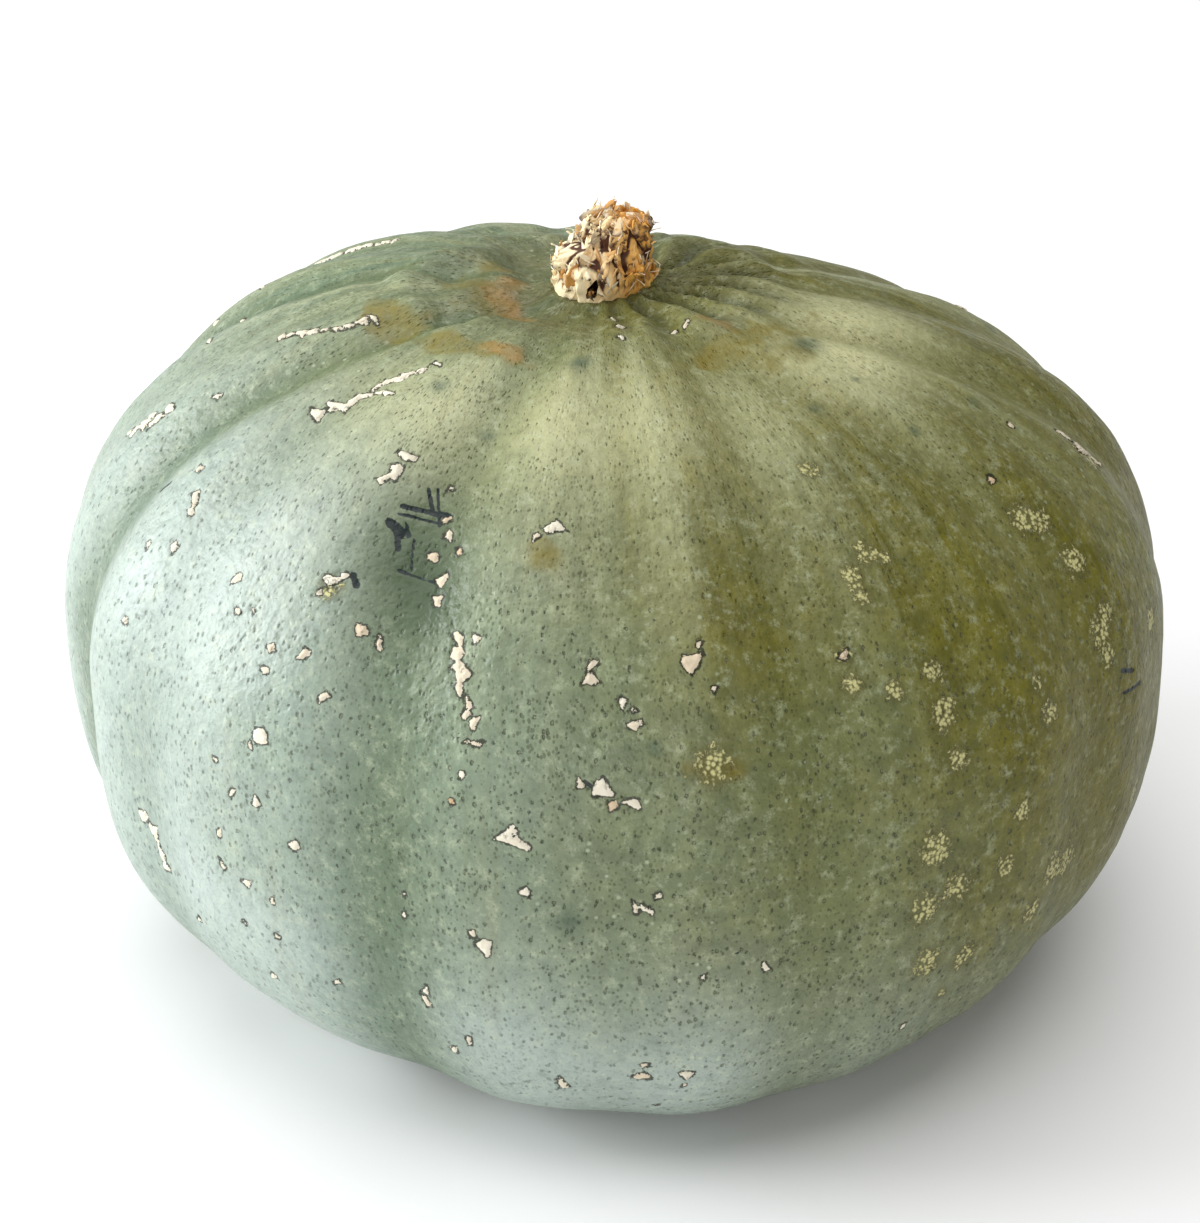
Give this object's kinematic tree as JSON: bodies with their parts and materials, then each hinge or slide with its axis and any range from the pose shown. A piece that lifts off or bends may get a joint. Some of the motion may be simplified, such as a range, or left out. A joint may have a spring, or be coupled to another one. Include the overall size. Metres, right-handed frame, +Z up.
{
  "type": "winter squash",
  "caption": "Whole winter squash, broad and softly ribbed, with a blue-green waxy rind and a corky tan stem stub; rests on its flattened blossom end.",
  "frame": {"origin": "on the surface that the squash rests on, under the middle of its bounding box", "axes": "+Z up towards the stem; -Y is the front, the side with the deep furrow and the scars; +X is to the right of the front"},
  "size_m": [0.3, 0.2998, 0.2018],
  "materials": {
    "rind": "waxy blue-green to olive rind with a pale bloom, dense darker pores and small corky scars",
    "cork": "dry, flaky, golden-tan cork"
  },
  "bodies": {
    "root": {"fruit": "rind", "stem": "cork"}
  },
  "joints": []
}
